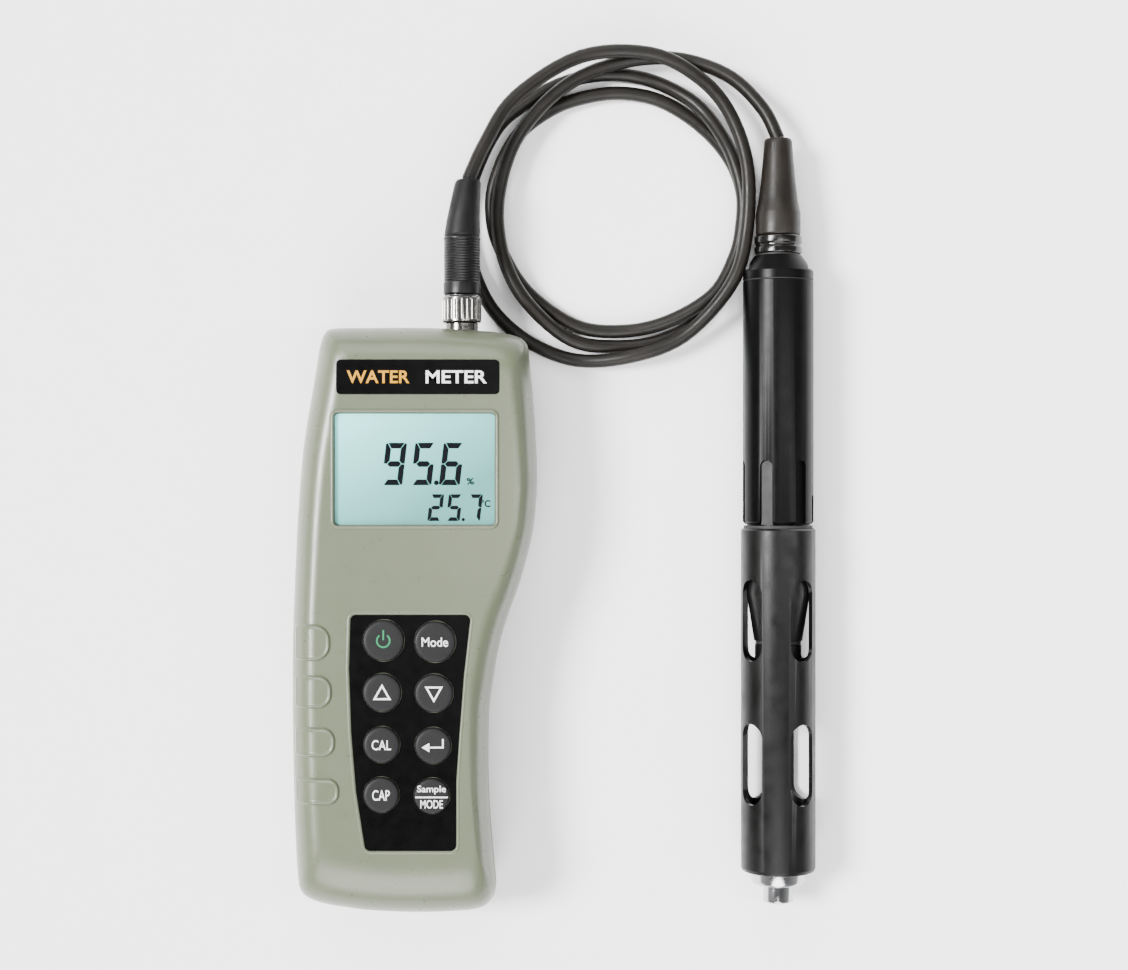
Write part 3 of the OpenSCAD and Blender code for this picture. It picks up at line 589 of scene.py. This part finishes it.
def make_pads():
    verts, faces = [], []
    for y0, y1, x1 in PADS:
        r = (y1 - y0) / 2
        corner = r * 0.86
        xs = np.arange(PAD_LEFT - 1.1, x1 + 1.3, PAD_STEP)
        ys = np.arange(y0 - 1.1, y1 + 1.3, PAD_STEP)
        gx, gy = np.meshgrid(xs, ys)
        # signed distance to the D, negative inside
        dx = np.where(gx > x1 - corner, gx - (x1 - corner), 0)
        dy = np.maximum(np.abs(gy - (y0 + r)) - (r - corner), 0)
        right = np.hypot(dx, dy) - corner
        side = np.abs(gy - (y0 + r)) - r
        qx, qy = PAD_LEFT - gx + PAD_CORNER, side + PAD_CORNER
        outside = np.hypot(np.maximum(qx, 0), np.maximum(qy, 0))
        square = np.minimum(np.maximum(qx, qy), 0) + outside - PAD_CORNER
        d = np.where(gx > x1 - corner, right, square)
        rise = PAD_RISE * 0.55 * (1 - 1 / (1 + np.exp(-(d + 0.35) / 0.13)))
        bead = PAD_RISE * 0.5 * np.exp(-((d + 0.55) / 0.34) ** 2)
        skirt = np.where(d > 0.1, -(d - 0.1) * 0.9, 0)
        z = flank_height(gx, gy) + rise + bead + skirt + 0.02
        base = len(verts)
        rows, cols = gx.shape
        verts += [(float(a), float(b), float(c)) for a, b, c in zip(gx.ravel(), gy.ravel(), z.ravel())]
        keep = d < PAD_SKIRT
        for i in range(rows - 1):
            for j in range(cols - 1):
                if keep[i, j] or keep[i + 1, j + 1]:
                    k = base + i * cols + j
                    faces.append((k, k + 1, k + cols + 1, k + cols))
    obj = from_lists("finger_pads", verts, faces, slot="case_front", angle=80)
    bm = bmesh.new()
    bm.from_mesh(obj.data)
    bmesh.ops.delete(bm, geom=[v for v in bm.verts if not v.link_faces], context="VERTS")
    bm.to_mesh(obj.data)
    bm.free()


make_front()
make_back()
make_pads()


# ---- display ----
SEGMENTS = {"9": "abcdfg", "5": "acdfg", "6": "acdefg", "2": "abdeg", "7": "abc"}
SLANT = math.tan(math.radians(6.7))


def seven_segment(w, h, s, g):
    """Polygons of the seven bars of a digit, from its lower left corner."""
    m, e = h / 2, g * 0.7
    up = {"f": [(0, m + e), (0, h - g * 1.6), (s * 0.3, h - g * 0.6), (s - g * 0.2, h - s - g),
                (s - g * 0.2, m + s / 2 + e), (s / 2, m + e * 0.6)]}
    up["b"] = [(w - x, y) for x, y in up["f"]]
    down = {"e": [(x, h - y) for x, y in up["f"]], "c": [(x, h - y) for x, y in up["b"]]}
    top = [(s * 0.3 + g, h), (w - s * 0.3 - g, h), (w - s - g * 0.1, h - s), (s + g * 0.1, h - s)]
    bars = {**up, **down, "a": top, "d": [(x, h - y) for x, y in top],
            "g": [(s / 2 + g, m), (s + g * 0.8, m + s / 2), (w - s - g * 0.8, m + s / 2), (w - s / 2 - g, m),
                  (w - s - g * 0.8, m - s / 2), (s + g * 0.8, m - s / 2)]}
    return bars


DISPLAY_Z = (33.62, 33.7)
DIGIT_Z = 33.78
PRINT_THICK = 0.06


def make_display():
    face = prism("display_face", rounded_rect(*LCD, 49.8, 34.6, 1.1), *DISPLAY_Z)
    bpy.context.scene.collection.objects.unlink(face)
    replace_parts(piece("display_face", face.data, "display_glass", smooth=False), "lcd_panel")
    verts, faces = [], []

    def add(poly, thick=0.04):
        n, k = len(poly), len(verts)
        area = sum(poly[i][0] * poly[(i + 1) % n][1] - poly[(i + 1) % n][0] * poly[i][1] for i in range(n))
        poly = poly if area > 0 else poly[::-1]
        verts.extend((x, y, h) for h in (DIGIT_Z, DIGIT_Z - thick) for x, y in poly)
        faces.append(tuple(range(k, k + n)))
        faces.append(tuple(range(k + 2 * n - 1, k + n - 1, -1)))
        for i in range(n):
            j = (i + 1) % n
            faces.append((k + i, k + n + i, k + n + j, k + j))

    def digit(ch, dx, dy, w, h, s, g):
        for name, poly in seven_segment(w, h, s, g).items():
            if name in SEGMENTS[ch]:
                add([(LCD[0] + dx - w / 2 + x + (y - h / 2) * SLANT, LCD[1] + dy - h / 2 + y)
                     for x, y in poly])

    def dot(dx, dy, r):
        add([(LCD[0] + dx + r * math.cos(a), LCD[1] + dy + r * math.sin(a))
             for a in np.arange(20) * math.pi / 10])

    for ch, dx in (("9", -6.45), ("5", 2.65), ("6", 11.5)):
        digit(ch, dx, 1.6, 6.5, 13.2, 1.75, 0.2)
    dot(6.7, -4.25, 0.75)
    for ch, dx in (("2", 6.5), ("5", 12.3), ("7", 18.6)):
        digit(ch, dx, -12.0, 4.3, 8.3, 1.15, 0.14)
    dot(15.1, -15.7, 0.5)
    from_lists("lcd_digits", verts, faces, mat=INK, smooth=False)


def label(name, text, x, y, z, width, height, mat, body=ROOT, bold=0.008):
    """Raised print whose box is exactly width by height, centred on x, y."""
    font = bpy.data.curves.new(name, "FONT")
    font.body = text
    font.extrude = 0.02
    font.offset = bold
    font.resolution_u = 4
    obj = bpy.data.objects.new(name, font)
    bpy.context.scene.collection.objects.link(obj)
    view = bpy.context.evaluated_depsgraph_get()
    mesh = bpy.data.meshes.new_from_object(obj.evaluated_get(view))
    bpy.data.objects.remove(obj)
    co = np.array([v.co for v in mesh.vertices])
    lo, hi = co.min(0), co.max(0)
    co = (co - (lo + hi) / 2) / (hi - lo) * (width, height, PRINT_THICK)
    co = (co + (x, y, z)) * MM
    mesh.vertices.foreach_set("co", co.ravel())
    mesh.materials.clear()
    return piece(name, mesh, mat=mat, body=body, smooth=False)


def strokes(name, lines, z, width, mat, body, closed=False):
    """Flat printed lines of constant width along polylines, with square mitres."""
    verts, faces = [], []
    for line in lines:
        p = np.array(line, float)
        n = len(p)
        left, right = [], []
        for i in range(n):
            a = p[(i - 1) % n] if closed or i > 0 else p[i]
            c = p[(i + 1) % n] if closed or i < n - 1 else p[i]
            d0 = p[i] - a if np.any(p[i] != a) else c - p[i]
            d1 = c - p[i] if np.any(p[i] != c) else p[i] - a
            d0, d1 = d0 / np.linalg.norm(d0), d1 / np.linalg.norm(d1)
            normal = np.array([-(d0 + d1)[1], (d0 + d1)[0]])
            normal /= np.linalg.norm(normal)
            reach = width / 2 / max(0.35, float(np.dot(normal, [-d0[1], d0[0]])))
            left.append(p[i] + normal * reach)
            right.append(p[i] - normal * reach)
        k = len(verts)
        for h in (z, z - PRINT_THICK):
            verts += [(*q, h) for q in left] + [(*q, h) for q in right]
        for i in range(n if closed else n - 1):
            j = (i + 1) % n
            a, b, c, d = k + i, k + j, k + n + j, k + n + i
            faces.append((d, c, b, a))
            faces.append(tuple(q + 2 * n for q in (a, b, c, d)))
            faces.append((a, b, b + 2 * n, a + 2 * n))
            faces.append((c, d, d + 2 * n, c + 2 * n))
    return from_lists(name, verts, faces, mat=mat, body=body, smooth=False)


make_display()
label("lcd_percent", "%", LCD[0] + 17.3, LCD[1] - 3.8, DIGIT_Z, 2.3, 2.1, INK, bold=0.02)
label("lcd_celsius", "\u00b0C", LCD[0] + 22.1, LCD[1] - 10.7, DIGIT_Z, 2.9, 2.3, INK, bold=0.02)
plate_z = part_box("nameplate")[1].z / MM
label("plate_word_left", "WATER", PLATE[0] - 12.3, PLATE[1], plate_z + 0.02, 19.5, 4.0, INK_GOLD, bold=0.018)
label("plate_word_right", "METER", PLATE[0] + 12.0, PLATE[1], plate_z + 0.02, 19.0, 4.0, INK_WHITE,
      bold=0.018)


# ---- key legends ----
def key_spot(node):
    lo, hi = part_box(node)
    return (lo.x + hi.x) / 2 / MM, (lo.y + hi.y) / 2 / MM, hi.z / MM + 0.03


def key_label(key, text, width, height, dy=0.0, part=""):
    x, y, z = key_spot(key + "_key")
    label("legend_" + key + part, text, x, y + dy, z, width, height, INK_WHITE, body=key + "_key_body")


def key_strokes(key, lines, width, mat=INK_WHITE, closed=False, part=""):
    x, y, z = key_spot(key + "_key")
    strokes("legend_" + key + part, [[(x + a, y + b) for a, b in line] for line in lines], z, width, mat,
            key + "_key_body", closed)


OPEN_HALF = 36
RING_R = 2.0
power_ring = [(RING_R * math.cos(math.radians(a)), RING_R * math.sin(math.radians(a)))
              for a in np.linspace(90 + OPEN_HALF, 450 - OPEN_HALF, 40)]
key_strokes("power", [power_ring, [(0, 0.2), (0, 3.3)]], 0.5, INK_GREEN)
key_label("mode", "Mode", 8.2, 2.9)
key_strokes("up", [[(-2.35, -1.9), (2.35, -1.9), (0, 2.25)]], 0.55, closed=True)
key_strokes("down", [[(-2.35, 1.9), (0, -2.25), (2.35, 1.9)]], 0.55, closed=True)
key_label("cal", "CAL", 5.95, 3.1)
key_strokes("enter", [[(-1.4, -0.45), (3.1, -0.45), (3.1, 2.2)]], 0.5)
key_strokes("enter", [[(-3.35, -0.45), (-1.2, -0.46)]], 0.05, part="_tip")
key_label("cap", "CAP", 5.4, 3.3)
key_label("sample", "Sample", 8.9, 2.7, dy=2.0)
key_strokes("sample", [[(-5.05, -0.3), (5.05, -0.3)]], 0.42, part="_line")
key_label("sample", "MODE", 7.0, 2.6, dy=-2.45, part="_lower")
x, y, z = key_spot("enter_key")
ARROW_HEAD = [(-3.5, -0.45), (-1.1, -1.85), (-1.1, 0.95)]
from_lists("legend_enter_head", [(x + a, y + b, h) for h in (z, z - PRINT_THICK) for a, b in ARROW_HEAD],
           [(0, 1, 2), (5, 4, 3), (0, 3, 4, 1), (1, 4, 5, 2), (2, 5, 3, 0)], mat=INK_WHITE,
           body="enter_key_body", smooth=False)


# ---- rounded corners on the CAD pieces that show ----
EASE = {"nameplate": 0.15, "receptacle": 0.12, "coupling_ring": 0.06, "plug_barrel": 0.08,
        "plug_boot": 0.15, "probe_boot": 0.2, "probe_collar": 0.2, "probe_top_cap": 0.2, "probe_body": 0.15,
        "sensor_nose": 0.15, "sensor_cap": 0.15, "guard": 0.22, "guard_weight": 0.2}
for node, width in EASE.items():
    eased(node, width)


# ---- key tops ----
KEY_FLANGE = 0.9  # how far the hidden flange under the panel stands out from the key top


def make_key(key):
    """A round key top: flat crown, soft shoulder, straight skirt."""
    node = key + "_key"
    lo, hi = (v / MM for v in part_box(node))
    cx, cy, r = (lo.x + hi.x) / 2, (lo.y + hi.y) / 2, (hi.x - lo.x) / 2 - KEY_FLANGE
    rings = [(r, hi.z - 3), (r, hi.z - 0.75), (r - 0.05, hi.z - 0.5), (r - 0.2, hi.z - 0.28),
             (r - 0.45, hi.z - 0.13), (r - 0.85, hi.z - 0.05), (r - 1.5, hi.z - 0.02), (r * 0.5, hi.z - 0.02)]
    s = Shell()
    first, *rest = [(circle(cx, cy, q, 80), h) for q, h in rings]
    last = s.run(s.loop(*first), rest)
    s.bm.faces.new(last)
    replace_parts(piece(node + "_top", s.mesh(node + "_top"), "key_grey", node + "_body", angle=60), node)


for key in ("power", "mode", "up", "down", "cal", "enter", "cap", "sample"):
    make_key(key)


# ---- floor and light ----
def make_floor():
    mesh = bpy.data.meshes.new("floor")
    r, z = 6.0, -0.0003
    mesh.from_pydata([(-r, -r, z), (r, -r, z), (r, r, z), (-r, r, z)], [], [(0, 1, 2, 3)])
    mesh.materials.append(FLOOR)
    floor = bpy.data.objects.new("floor", mesh)
    bpy.context.scene.collection.objects.link(floor)


def area_light(name, location, target, size, size_y, watts):
    data = bpy.data.lights.new(name, "AREA")
    data.shape = "RECTANGLE"
    data.size, data.size_y = size, size_y
    data.energy = watts
    obj = bpy.data.objects.new(name, data)
    obj.location = location
    direction = Vector(target) - Vector(location)
    obj.rotation_euler = direction.to_track_quat("-Z", "Y").to_euler()
    bpy.context.scene.collection.objects.link(obj)


make_floor()
world = bpy.data.worlds.new("studio")
bpy.context.scene.world = world
world.use_nodes = True
# a studio tent: pale round the sides, dark overhead, so that flat black faces stay black from above
tent = world.node_tree
direction = tent.nodes.new("ShaderNodeTexCoord")
split = tent.nodes.new("ShaderNodeSeparateXYZ")
tent.links.new(direction.outputs["Generated"], split.inputs[0])
fade = tent.nodes.new("ShaderNodeValToRGB")
fade.color_ramp.elements[0].position, fade.color_ramp.elements[0].color = 0.0, (0.7, 0.7, 0.7, 1)
fade.color_ramp.elements[1].position, fade.color_ramp.elements[1].color = 0.85, (0.12, 0.12, 0.12, 1)
fade.color_ramp.elements.new(0.35).color = (0.42, 0.42, 0.42, 1)
tent.links.new(split.outputs["Z"], fade.inputs["Fac"])
tent.links.new(fade.outputs["Color"], tent.nodes["Background"].inputs["Color"])
tent.nodes["Background"].inputs["Strength"].default_value = 1.0


def soft_sun(name, source, strength, angle):
    data = bpy.data.lights.new(name, "SUN")
    data.energy = strength
    data.angle = math.radians(angle)
    obj = bpy.data.objects.new(name, data)
    obj.rotation_euler = Vector(source).to_track_quat("Z", "Y").to_euler()
    bpy.context.scene.collection.objects.link(obj)


MIDDLE = (0, 0.02, 0.02)
soft_sun("key_left", (-1.0, 0.15, 1.15), 8.8, 18)
soft_sun("near_side", (-0.1, -1.0, 0.9), 4.6, 45)
soft_sun("far_side", (-0.2, 1.0, 0.9), 2.2, 45)
area_light("ridge_strip", (0.50, -0.02, 0.95), MIDDLE, 0.06, 1.2, 8)
